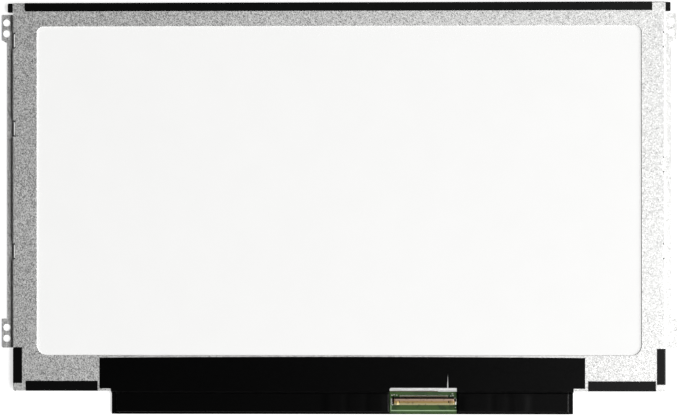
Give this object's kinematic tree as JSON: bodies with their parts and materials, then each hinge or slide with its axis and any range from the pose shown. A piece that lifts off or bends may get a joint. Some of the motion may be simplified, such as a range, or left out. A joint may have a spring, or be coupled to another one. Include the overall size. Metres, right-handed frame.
{
  "type": "laptop screen panel",
  "caption": "Thin flat display panel seen from its steel back, with side brackets, screw ears, taped control board and edge connector for a laptop lid.",
  "frame": {"origin": "middle of the outline, on the front face of the screen, which lies on the floor", "axes": "+X along the width to the connector's side, +Y from the board edge to the top edge, +Z from the screen to the steel back"},
  "size_m": [0.2782, 0.1694, 0.0037],
  "materials": {
    "galvanised_steel": "satin zinc spangle",
    "black_moulding": "fine moulded grain",
    "white_reflector": "satin white film",
    "optical_film": "hazy film",
    "acrylic": "clear polished",
    "panel_glass": "clear",
    "polariser_film": "anti-glare dark film",
    "bonding_tape": "matt black",
    "black_tape": "satin black film",
    "circuit_board": "green solder mask",
    "amber_flex": "amber film",
    "white_flex": "white cover film",
    "chip_epoxy": "moulded black",
    "chip_ceramic": "fired ceramic",
    "light_package": "white package",
    "connector_resin": "dark brown heat-proof resin",
    "gold_plate": "thin gold over copper alloy"
  },
  "bodies": {
    "root": {"rear_frame": "galvanised_steel", "mould_frame": "black_moulding", "reflector_sheet": "white_reflector", "light_guide": "acrylic", "lower_diffuser": "optical_film", "lower_prism_sheet": "optical_film", "upper_prism_sheet": "optical_film", "upper_diffuser": "optical_film", "light_strip_flex": "white_flex", "light_packages": "light_package", "rear_polariser": "polariser_film", "array_glass": "panel_glass", "colour_filter_glass": "panel_glass", "front_polariser": "polariser_film", "rim_tape": "bonding_tape", "control_board": "circuit_board", "timing_controller": "chip_epoxy", "supply_chip": "chip_epoxy", "light_driver_chip": "chip_epoxy", "coils": "chip_epoxy", "capacitors": "chip_ceramic", "resistors": "chip_epoxy", "tail_socket": "connector_resin", "connector_housing": "connector_resin", "connector_shell": "gold_plate", "connector_contacts": "gold_plate", "board_cover_tape": "black_tape", "top_tape": "black_tape", "left_side_tape": "black_tape", "right_side_tape": "black_tape", "left_bottom_tape": "black_tape", "right_bottom_tape": "black_tape", "driver_film_1": "amber_flex", "driver_chip_1": "chip_epoxy", "driver_film_2": "amber_flex", "driver_chip_2": "chip_epoxy", "driver_film_3": "amber_flex", "driver_chip_3": "chip_epoxy", "driver_film_4": "amber_flex", "driver_chip_4": "chip_epoxy"}
  },
  "joints": []
}
